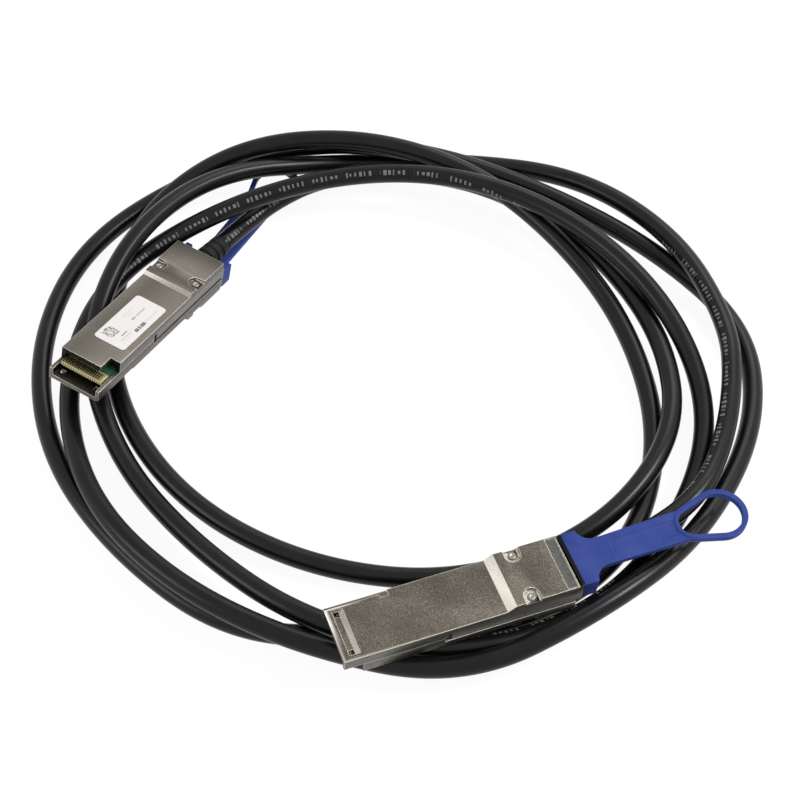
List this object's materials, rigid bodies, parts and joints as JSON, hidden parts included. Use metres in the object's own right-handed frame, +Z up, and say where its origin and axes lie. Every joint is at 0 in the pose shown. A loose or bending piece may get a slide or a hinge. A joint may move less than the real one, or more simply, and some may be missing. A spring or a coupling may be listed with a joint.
{
  "type": "direct attach copper cable",
  "caption": "Thick round black twin-axial cable, loosely coiled, with a flat die-cast transceiver plug and a blue finger-loop pull tab at each end",
  "frame": {"origin": "on the table under the middle of the box round the two plugs, the cable left out", "axes": "+Z up from the table; +X to the right as the coil is seen with the near plug in front; +Y away from that side"},
  "size_m": [0.239, 0.2199, 0.0276],
  "materials": {
    "cast_nickel": "satin cast nickel plate",
    "board": "board laminate",
    "gold": "gold plate",
    "steel": "rolled spring steel",
    "rivet_steel": "bright",
    "blue_plastic": "moulded satin",
    "black_rubber": "moulded satin",
    "label_white": "matte film",
    "cable_jacket": "extruded satin jacket"
  },
  "bodies": {
    "lead": {"shell_top_a": "cast_nickel", "shell_base_a": "cast_nickel", "paddle_card_a": "board", "contacts_a": "gold", "rivet_left_a": "rivet_steel", "return_spring_left_a": "steel", "rivet_right_a": "rivet_steel", "return_spring_right_a": "steel", "strain_relief_a": "black_rubber", "shell_top_b": "cast_nickel", "shell_base_b": "cast_nickel", "paddle_card_b": "board", "contacts_b": "gold", "rivet_left_b": "rivet_steel", "return_spring_left_b": "steel", "rivet_right_b": "rivet_steel", "return_spring_right_b": "steel", "strain_relief_b": "black_rubber", "label_b": "label_white", "cable": "cable_jacket"},
    "release_a": {"latch_slide_a": "steel", "pull_tab_a": "blue_plastic"},
    "release_b": {"latch_slide_b": "steel", "pull_tab_b": "blue_plastic"}
  },
  "joints": [
    {"name": "release_a_slide", "type": "slide", "parent": "lead", "child": "release_a", "axis": [0.9289, 0.365, -0.0628], "range_m": [0, 0.0025], "stiffness_N_per_m": 900, "deforming": ["return_spring_left_a", "return_spring_right_a"]},
    {"name": "release_b_slide", "type": "slide", "parent": "lead", "child": "release_b", "axis": [0.4592, 0.8637, -0.2079], "range_m": [0, 0.0025], "stiffness_N_per_m": 900, "deforming": ["return_spring_left_b", "return_spring_right_b"]}
  ]
}
